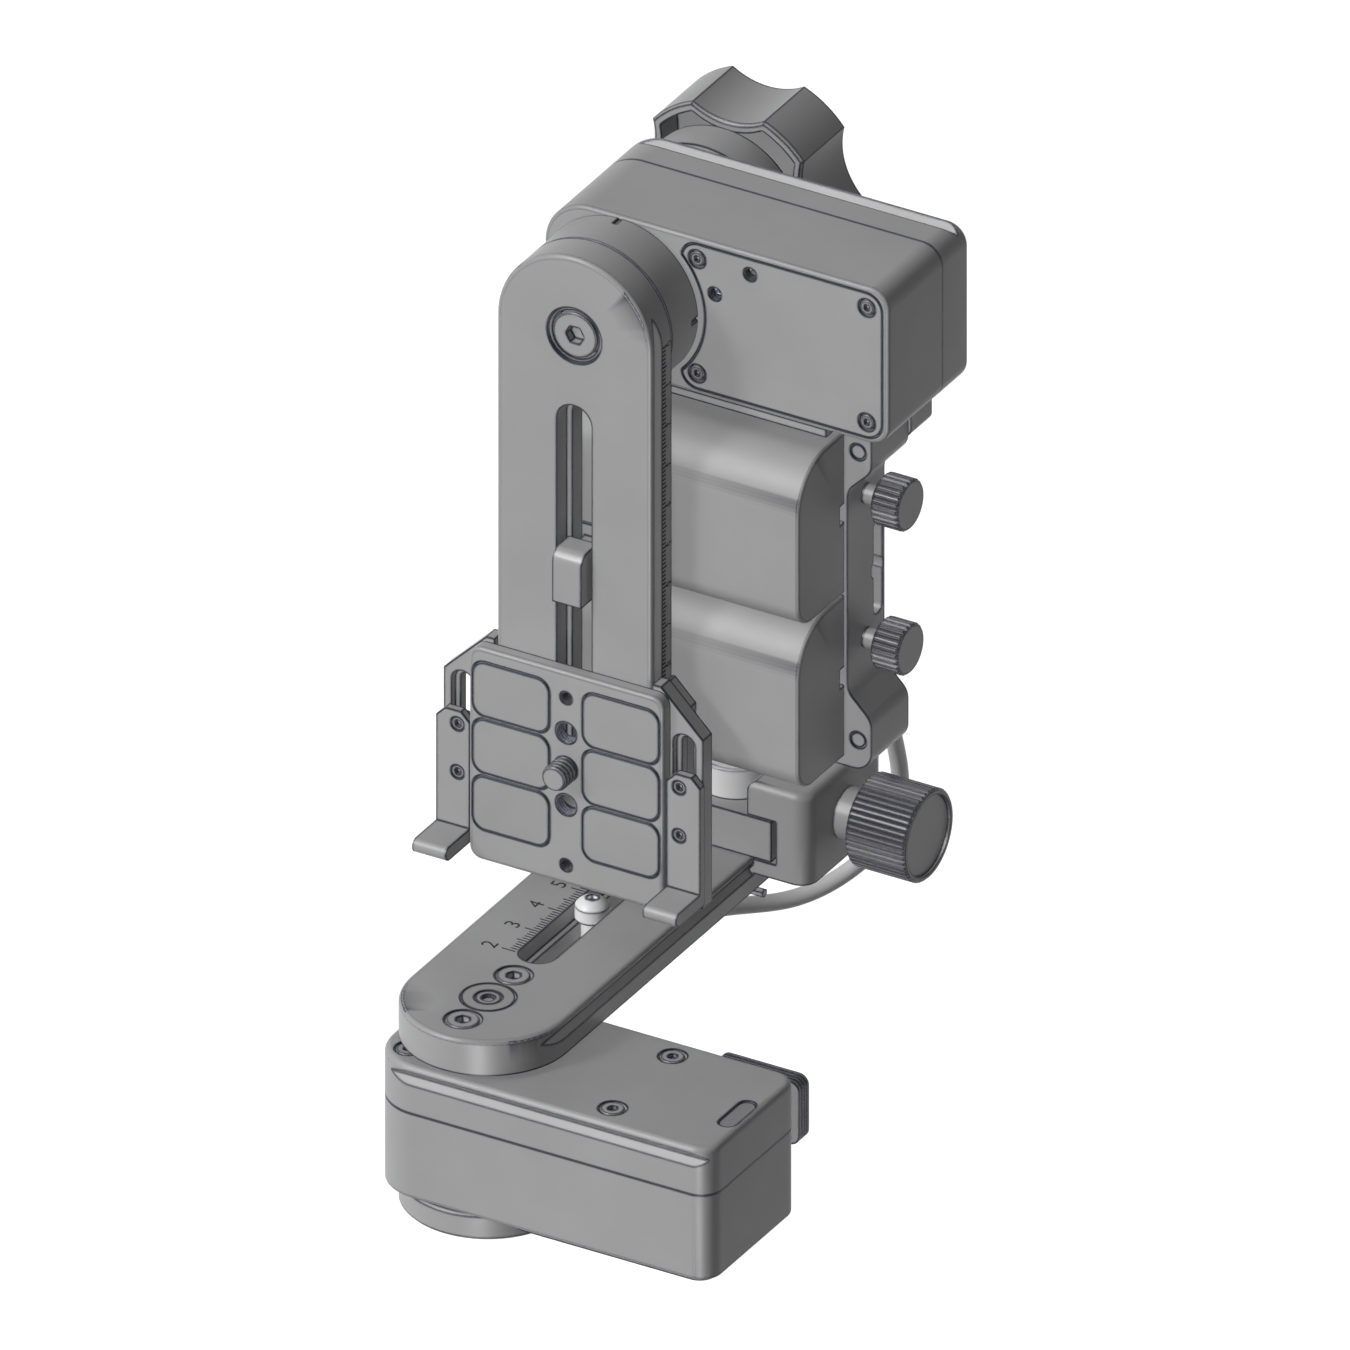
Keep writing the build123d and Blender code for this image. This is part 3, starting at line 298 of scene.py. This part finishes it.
# graduations: printed lines in a row along +X, each reaching along +Y; every fifth is middling and
# every tenth long
def makeScaleTree():
    tree = bpy.data.node_groups.new("graduations", "GeometryNodeTree")
    tree.is_modifier = True
    face = tree.interface
    face.new_socket("Count", in_out="INPUT", socket_type="NodeSocketInt").default_value = 10
    for label in ("Pitch", "Short", "Middle", "Long", "Line Width", "Line Height"):
        face.new_socket(label, in_out="INPUT", socket_type="NodeSocketFloat").default_value = mm
    face.new_socket("Ink", in_out="INPUT", socket_type="NodeSocketMaterial")
    face.new_socket("Geometry", in_out="OUTPUT", socket_type="NodeSocketGeometry")
    given, result = addNode(tree, "NodeGroupInput"), addNode(tree, "NodeGroupOutput")
    index = addNode(tree, "GeometryNodeInputIndex").outputs["Index"]

    def work(operation, first, second):
        node = addNode(tree, "ShaderNodeMath", operation=operation)
        for socket, value in zip(node.inputs, (first, second)):
            if isinstance(value, (int, float)):
                socket.default_value = value
            else:
                wire(tree, value, socket)
        return node.outputs[0]

    def isEvery(step):
        return work("LESS_THAN", work("MODULO", index, step), 0.5)

    def pick(chance, otherwise, chosen):
        node = addNode(tree, "GeometryNodeSwitch", input_type="FLOAT")
        wire(tree, chance, node.inputs["Switch"])
        wire(tree, otherwise, node.inputs["False"])
        wire(tree, chosen, node.inputs["True"])
        return node.outputs[0]

    shorter = pick(isEvery(5), given.outputs["Short"], given.outputs["Middle"])
    length = pick(isEvery(10), shorter, given.outputs["Long"])
    spot, size = addNode(tree, "ShaderNodeCombineXYZ"), addNode(tree, "ShaderNodeCombineXYZ")
    wire(tree, work("MULTIPLY", index, given.outputs["Pitch"]), spot.inputs["X"])
    wire(tree, work("MULTIPLY", length, 0.5), spot.inputs["Y"])
    wire(tree, given.outputs["Line Width"], size.inputs["X"])
    wire(tree, length, size.inputs["Y"])
    wire(tree, given.outputs["Line Height"], size.inputs["Z"])
    points = addNode(tree, "GeometryNodePoints")
    wire(tree, given.outputs["Count"], points.inputs["Count"])
    wire(tree, spot.outputs[0], points.inputs["Position"])
    line = addNode(tree, "GeometryNodeMeshCube", {"Size": (1, 1, 1)})
    spread = addNode(tree, "GeometryNodeInstanceOnPoints")
    wire(tree, points.outputs[0], spread.inputs["Points"])
    wire(tree, line.outputs["Mesh"], spread.inputs["Instance"])
    wire(tree, size.outputs[0], spread.inputs["Scale"])
    real = addNode(tree, "GeometryNodeRealizeInstances")
    wire(tree, spread.outputs[0], real.inputs[0])
    paint = addNode(tree, "GeometryNodeSetMaterial")
    wire(tree, real.outputs[0], paint.inputs["Geometry"])
    wire(tree, given.outputs["Ink"], paint.inputs["Material"])
    wire(tree, paint.outputs[0], result.inputs["Geometry"])
    return tree


def numeralMesh(text, look):
    curve = bpy.data.curves.new("numeral", "FONT")
    curve.body = text
    curve.size = look["numeralSize"] * mm
    curve.align_x, curve.align_y = "CENTER", "CENTER"
    curve.extrude = look["print"] * mm / 2
    curve.resolution_u = look["numeralSmoothness"]
    return meshOf(bpy.data.objects.new("numeral", curve))


def joinMeshes(name, meshes, finish):
    joined = bpy.data.meshes.new(name)
    corners, faces = [], []
    for mesh in meshes:
        offset = len(corners)
        corners += [v.co[:] for v in mesh.vertices]
        faces += [[offset + i for i in p.vertices] for p in mesh.polygons]
    joined.from_pydata(corners, [], faces)
    joined.materials.append(materials[finish])
    joined.validate()
    joined.update()
    return joined


# millimetre scales; zero is where the scale reads nought, and lines and numerals stand off it to one side;
# along, across and outward are the ways the scale runs, its lines reach and its print faces
railScale = dict(body="turntable", zero=(0, 0, 49.7), along=(0, 1, 0), across=(-1, 0, 0), outward=(0, 0, 1),
                 first=20, count=96, pitch=1.0, lineOffset=4.75, short=1.7, middle=2.5, long=3.4,
                 lineWidth=0.38, print=0.05, numerals=range(2, 12), numeralPitch=10.0, numeralOffset=11.0,
                 numeralSize=5.2, numeralSmoothness=3)
armScale = dict(body="swing", zero=(19.4, 0, 196.4), along=(0, 0, -1), across=(0, 1, 0), outward=(1, 0, 0),
                first=0, count=126, pitch=1.0, lineOffset=41.75, short=1.5, middle=1.9, long=2.2,
                lineWidth=0.55, print=0.05, numerals=range(0, 13), numeralPitch=10.0, numeralOffset=44.65,
                numeralSize=2.8, numeralSmoothness=3)
scaleTree = makeScaleTree()


def scalePlace(look, along, across):
    # matrix that lays print on the scale, at distances in mm along and across it
    place = Matrix((look["along"], look["across"], look["outward"])).transposed().to_4x4()
    spot = Vector(look["zero"]) + Vector(look["along"]) * along + Vector(look["across"]) * across
    place.translation = spot * mm
    return place


def printScale(name, look):
    ticks = bakeTree(scaleTree, {
        "Count": look["count"], "Pitch": look["pitch"] * mm, "Short": look["short"] * mm,
        "Middle": look["middle"] * mm, "Long": look["long"] * mm, "Line Width": look["lineWidth"] * mm,
        "Line Height": look["print"] * mm, "Ink": materials["scaleInk"]})
    ticks.transform(scalePlace(look, look["first"], look["lineOffset"]))
    finishPiece(name + "Graduations", ticks, look["body"])
    numerals = []
    for number in look["numerals"]:
        mesh = numeralMesh(str(number), look)
        mesh.transform(scalePlace(look, number * look["numeralPitch"], look["numeralOffset"]))
        numerals.append(mesh)
    numeralPiece = joinMeshes(name + "Numerals", numerals, "scaleInk")
    finishPiece(name + "Numerals", numeralPiece, look["body"])


printScale("rail", railScale)
printScale("arm", armScale)
print("scales printed")


# threads: rings of (y, radius) turned about a line along Y, with a wave that climbs one pitch in a turn
def threadStations(start, end, look):
    rows = int((end - start) / look["pitch"] * look["perTurn"]) + 1
    return [start + (end - start) * row / (rows - 1) for row in range(rows)]


def threadWave(distance, step, look):
    # one at the thread's root, nought at its crest
    return abs(2 * ((distance / look["pitch"] + step / look["around"]) % 1.0) - 1)


def ringCorners(rings, x, z):
    corners = []
    for ring in rings:
        for step, (y, radius) in enumerate(ring):
            angle = 2 * math.pi * step / len(ring)
            corners.append(Vector((x + radius * math.cos(angle), y, z + radius * math.sin(angle))) * mm)
    return corners


def ringFaces(rows, around, first, closed):
    faces = []
    for row in range(rows if closed else rows - 1):
        here, there = first + row * around, first + (row + 1) % rows * around
        for step in range(around):
            following = (step + 1) % around
            faces.append((here + step, here + following, there + following, there + step))
    return faces


def threadMesh(name, corners, faces, finish):
    mesh = bpy.data.meshes.new(name)
    mesh.from_pydata(corners, [], faces)
    mesh.materials.append(materials[finish])
    mesh.update()
    return mesh


# camera stud: rolled thread in front of the plate, plain neck through it and a round nut behind
studLook = dict(z=90.0, tip=28.1, shoulder=33.5, radius=3.17, depth=0.5, pitch=1.27, lead=0.5, around=48,
                perTurn=12, neck=2.8, nutRadius=4.8, nutFrom=35.7, nutTo=36.8)


def makeStud(look):
    around = look["around"]
    rings = []
    for y in threadStations(look["tip"], look["shoulder"], look):
        lead = min((y - look["tip"]) / look["lead"], 1.0)
        ring = []
        for step in range(around):
            wave = threadWave(y - look["tip"], step, look)
            ring.append((y, look["radius"] - look["depth"] * max(wave, 1 - lead)))
        rings.append(ring)
    for y, radius in ((look["shoulder"], look["neck"]), (look["nutFrom"], look["neck"]),
                      (look["nutFrom"], look["nutRadius"]), (look["nutTo"], look["nutRadius"])):
        rings.append([(y, radius)] * around)
    faces = [face[::-1] for face in ringFaces(len(rings), around, 0, closed=False)]
    last = (len(rings) - 1) * around
    faces.append(tuple(range(around)))
    faces.append(tuple(range(last + around - 1, last - 1, -1)))
    return threadMesh("threadedStud", ringCorners(rings, 0, look["z"]), faces, "screwSteel")


stud = finishPiece("threadedStud", makeStud(studLook), "mount_screw")
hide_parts("camera_screw")
smoothPiece(stud)
print("camera stud threaded")


# tapped holes: a thin threaded lining in each, a little short of the hole's two faces
liningLook = dict(pitch=0.8, around=32, perTurn=8, depth=0.26, wall=0.04)
tappedHoles = {
    # painted highlight: the two big holes' linings take the lighter aluminium copy so their threads look lit
    "plateThreads": dict(body="plate_carrier", slot="plate_aluminium", finish="highlightAluminium",
                         radius=2.6, front=33.8, back=36.7, at=[(0.0, 98.9), (0.0, 80.9)]),
    "plateSmallThreads": dict(body="plate_carrier", slot="plate_aluminium", finish="plateAluminium",
                              radius=1.5, front=33.8, back=36.7, at=[(0.0, 65.8), (0.0, 107.6)]),
    "caseThreads": dict(body="carriage", slot="case_aluminium", finish="caseAluminium",
                        radius=1.6, front=58.2, back=60.3, at=[(23.2, 203.2), (32.0, 210.6)]),
}


def makeLining(name, hole, look):
    around, wall = look["around"], look["wall"]
    outer = hole["radius"] - wall
    rings = []
    for y in threadStations(hole["front"], hole["back"], look):
        waves = [threadWave(y - hole["front"], step, look) for step in range(around)]
        rings.append([(y, outer - wall - look["depth"] * (1 - wave)) for wave in waves])
    rings += [[(hole["back"], outer)] * around, [(hole["front"], outer)] * around]
    corners, faces = [], []
    for x, z in hole["at"]:
        faces += ringFaces(len(rings), around, len(corners), closed=True)
        corners += ringCorners(rings, x, z)
    return threadMesh(name, corners, faces, hole["finish"])


for name, hole in tappedHoles.items():
    finishPiece(name, makeLining(name, hole, liningLook), hole["body"])
print("tapped holes lined")


# power cable: one smooth line from the frame round to the lower case
cableLook = dict(radius=1.95, smoothness=10, roundness=6, order=4)
cablePoints = [
    (42.0, 81.5, 91.5), (42.0, 93.0, 91.5), (41.2, 101.5, 82.5), (39.4, 108.5, 69.5),
    (36.5, 116.5, 54.2), (32.7, 117.7, 41.1), (27.0, 109.0, 33.5), (18.9, 98.0, 29.4),
    (10.6, 84.0, 33.9), (5.0, 66.0, 37.0), (5.0, 48.0, 35.0), (6.0, 35.0, 32.6), (6.0, 22.4, 32.6)]


def cableCurve(points, look, radius):
    curve = bpy.data.curves.new("cable", "CURVE")
    curve.dimensions = "3D"
    curve.resolution_u = look["smoothness"]
    curve.bevel_depth = radius
    curve.bevel_resolution = look["roundness"]
    curve.use_fill_caps = True
    spline = curve.splines.new("NURBS")
    spline.points.add(len(points) - 1)
    for point, place in zip(spline.points, points):
        point.co = (*(Vector(place) * mm), 1)
    spline.order_u = look["order"]
    spline.use_endpoint_u = True
    return meshOf(bpy.data.objects.new("cable", curve))


cableLine = [vertex.co.copy() for vertex in cableCurve(cablePoints, cableLook, 0.0).vertices]
cableMesh = cableCurve(cablePoints, cableLook, cableLook["radius"] * mm)
cableMesh.materials.clear()
cableMesh.materials.append(materials["cableJacket"])
for polygon in cableMesh.polygons:
    polygon.use_smooth = len(polygon.vertices) == 4    # the end caps stay flat
cable = bpy.data.objects.new("cable", cableMesh)
bpy.context.scene.collection.objects.link(cable)
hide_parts("power_cable")
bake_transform(cable)


# camera: parallel view from the front right and above; right, up, width and distance in mm
viewLook = dict(azimuth=30.0, elevation=30.0, right=40.45, up=112.78, width=292.3, distance=900.0,
                farClip=20000.0)


def addCamera(look):
    azimuth, elevation = math.radians(look["azimuth"]), math.radians(look["elevation"])
    rightWay = Vector((math.cos(azimuth), math.sin(azimuth), 0))
    backWay = Vector((math.sin(azimuth) * math.cos(elevation), -math.cos(azimuth) * math.cos(elevation),
                      math.sin(elevation)))
    upWay = backWay.cross(rightWay)
    camera = bpy.data.objects.new("camera", bpy.data.cameras.new("camera"))
    camera.data.type = "ORTHO"
    camera.data.ortho_scale = look["width"] * mm
    camera.data.clip_end = look["farClip"] * mm
    pose = Matrix((rightWay, upWay, backWay)).transposed().to_4x4()
    pose.translation = (rightWay * look["right"] + upWay * look["up"] + backWay * look["distance"]) * mm
    camera.matrix_world = pose
    bpy.context.scene.collection.objects.link(camera)
    bpy.context.scene.camera = camera


addCamera(viewLook)

# lamps: key and fill light the colours; sheen and glint only shine on rounded edges
lamps = {
    "keyLight": dict(strength=0.7, fromWay=(-0.42, -0.74, 0.52), angle=14.0, shadow=True, diffuse=True),
    "fillLight": dict(strength=2.6, fromWay=(-0.42, -0.74, 0.52), angle=14.0, shadow=False, diffuse=True),
    "sheenLight": dict(strength=2.2, fromWay=(-0.43, -0.50, 0.75), angle=20.0, shadow=False, diffuse=False),
    "glintLight": dict(strength=3.0, fromWay=(0.27, -0.82, -0.50), angle=16.0, shadow=True, diffuse=False),
}


def addSun(name, look):
    lamp = bpy.data.lights.new(name, "SUN")
    lamp.energy = look["strength"]
    lamp.angle = math.radians(look["angle"])
    lamp.use_shadow = look["shadow"]
    holder = bpy.data.objects.new(name, lamp)
    holder.rotation_euler = Vector(look["fromWay"]).to_track_quat("Z", "Y").to_euler()
    holder.visible_diffuse = look["diffuse"]
    bpy.context.scene.collection.objects.link(holder)


for name, look in lamps.items():
    addSun(name, look)

# backdrop: what the camera and reflections see is near white, while the light it gives the object stays low
backdropLook = dict(ambient=0.10, shown=1.0, floorColour=0.28, floorGlow=0.92, floorSize=4000.0,
                    floorDrop=0.2)


def seenRay(tree):
    rays = addNode(tree, "ShaderNodeLightPath")
    direct = addNode(tree, "ShaderNodeMath", operation="MAXIMUM")
    either = addNode(tree, "ShaderNodeMath", operation="MAXIMUM")
    wire(tree, rays.outputs["Is Camera Ray"], direct.inputs[0])
    wire(tree, rays.outputs["Is Glossy Ray"], direct.inputs[1])
    wire(tree, direct.outputs[0], either.inputs[0])
    wire(tree, rays.outputs["Is Transmission Ray"], either.inputs[1])
    return either.outputs[0]


def addWorld(look):
    world = bpy.data.worlds.new("studio")
    bpy.context.scene.world = world
    world.use_nodes = True
    tree = world.node_tree
    tree.nodes.clear()
    sky = addNode(tree, "ShaderNodeBackground", {"Color": (1, 1, 1, 1)})
    level = addNode(tree, "ShaderNodeMapRange", {"To Min": look["ambient"], "To Max": look["shown"]})
    wire(tree, seenRay(tree), level.inputs["Value"])
    wire(tree, level.outputs["Result"], sky.inputs["Strength"])
    wire(tree, sky.outputs[0], addNode(tree, "ShaderNodeOutputWorld").inputs["Surface"])


def floorFinish(look):
    material = bpy.data.materials.new("paleFloor")
    material.use_nodes = True
    tree = material.node_tree
    tree.nodes.clear()
    matt = addNode(tree, "ShaderNodeBsdfDiffuse", {"Color": (*[look["floorColour"]] * 3, 1)})
    glow = addNode(tree, "ShaderNodeEmission", {"Color": (1, 1, 1, 1)})
    power = addNode(tree, "ShaderNodeMath", {1: look["floorGlow"]}, operation="MULTIPLY")
    both = addNode(tree, "ShaderNodeAddShader")
    wire(tree, seenRay(tree), power.inputs[0])
    wire(tree, power.outputs[0], glow.inputs["Strength"])
    wire(tree, matt.outputs[0], both.inputs[0])
    wire(tree, glow.outputs[0], both.inputs[1])
    wire(tree, both.outputs[0], addNode(tree, "ShaderNodeOutputMaterial").inputs["Surface"])
    return material


def addFloor(look):
    half, level = look["floorSize"] / 2 * mm, -look["floorDrop"] * mm
    mesh = bpy.data.meshes.new("floor")
    mesh.from_pydata([(-half, -half, level), (half, -half, level), (half, half, level), (-half, half, level)],
                     [], [(0, 1, 2, 3)])
    mesh.materials.append(floorFinish(look))
    floor = bpy.data.objects.new("floor", mesh)
    bpy.context.scene.collection.objects.link(floor)
    floor.visible_shadow = False    # the glint lamp shines from under it


addWorld(backdropLook)
addFloor(backdropLook)
bpy.context.scene.view_settings.view_transform = "Standard"
print("stage set")
